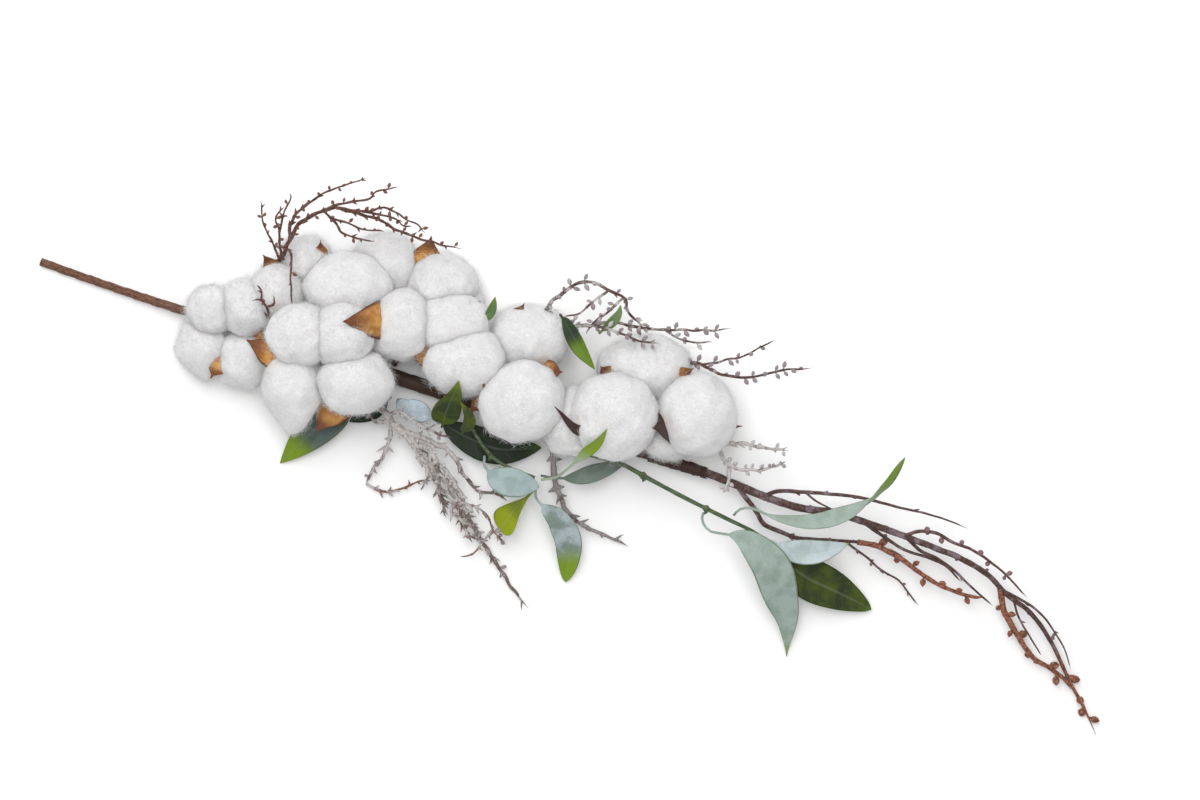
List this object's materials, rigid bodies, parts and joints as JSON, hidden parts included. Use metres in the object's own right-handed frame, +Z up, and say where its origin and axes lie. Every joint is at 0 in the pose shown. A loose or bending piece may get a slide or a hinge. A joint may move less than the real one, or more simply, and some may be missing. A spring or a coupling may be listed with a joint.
{
  "type": "cotton stem bunch",
  "caption": "Spray of open cotton bolls with husks, frosted budded twigs and grey-green leaves on a taped stem, lying flat.",
  "frame": {"origin": "on the surface that the bunch lies on, under the middle of its bounding box", "axes": "+X along the stem from its cut end to the drooping tail, +Z up, +Y across the stem"},
  "size_m": [0.489, 0.1522, 0.0553],
  "materials": {
    "stem_tape_paper": "brown crepe floral tape, wound, slightly waxy",
    "frosted_twig": "dark brown bark with a pale grey frost",
    "tail_bark": "dark brown bark with rusty buds",
    "husk": "dry husk, golden inside with red-brown edges, dark brown outside",
    "cotton": "soft white cotton fibre",
    "leaf": "grey-green frosted leaf with yellow-green tip",
    "leaf_stem": "olive green moulded stem"
  },
  "bodies": {
    "root": {"main_stem": "stem_tape_paper", "stem_tape": "stem_tape_paper", "arch_twig": "frosted_twig", "crown_twig": "frosted_twig", "side_twig": "frosted_twig", "cascade_twig": "frosted_twig", "low_twig": "frosted_twig", "under_twig": "frosted_twig", "tail_twig": "tail_bark", "leaf_stem_end": "leaf_stem", "leaf_stem_mid": "leaf_stem", "leaf_end_long": "leaf", "leaf_end_broad": "leaf", "leaf_end_small": "leaf", "leaf_end_dark": "leaf", "leaf_mid_pale": "leaf", "leaf_mid_folded": "leaf", "leaf_mid_hanging": "leaf", "leaf_mid_raised": "leaf", "leaf_mid_grey": "leaf", "leaf_low_green": "leaf", "leaf_low_bud": "leaf", "leaf_low_pale": "leaf", "leaf_low_dark": "leaf", "leaf_under_broad": "leaf", "leaf_under_dark": "leaf", "leaf_top_green": "leaf", "leaf_top_light": "leaf", "leaf_top_tip": "leaf", "husk_1": "husk", "husk_2": "husk", "husk_3": "husk", "husk_4": "husk", "husk_5": "husk", "husk_6": "husk", "boll_1_lock_1": "cotton", "boll_1_lock_2": "cotton", "boll_1_lock_3": "cotton", "boll_1_lock_4": "cotton", "boll_2_lock_1": "cotton", "boll_2_lock_2": "cotton", "boll_2_lock_3": "cotton", "boll_2_lock_4": "cotton", "boll_3_lock_1": "cotton", "boll_3_lock_2": "cotton", "boll_3_lock_3": "cotton", "boll_3_lock_4": "cotton", "boll_4_lock_1": "cotton", "boll_4_lock_2": "cotton", "boll_4_lock_3": "cotton", "boll_4_lock_4": "cotton", "boll_5_lock_1": "cotton", "boll_5_lock_2": "cotton", "boll_5_lock_3": "cotton", "boll_5_lock_4": "cotton", "boll_6_lock_1": "cotton", "boll_6_lock_2": "cotton", "boll_6_lock_3": "cotton", "boll_6_lock_4": "cotton", "boll_6_lock_5": "cotton"}
  },
  "joints": []
}
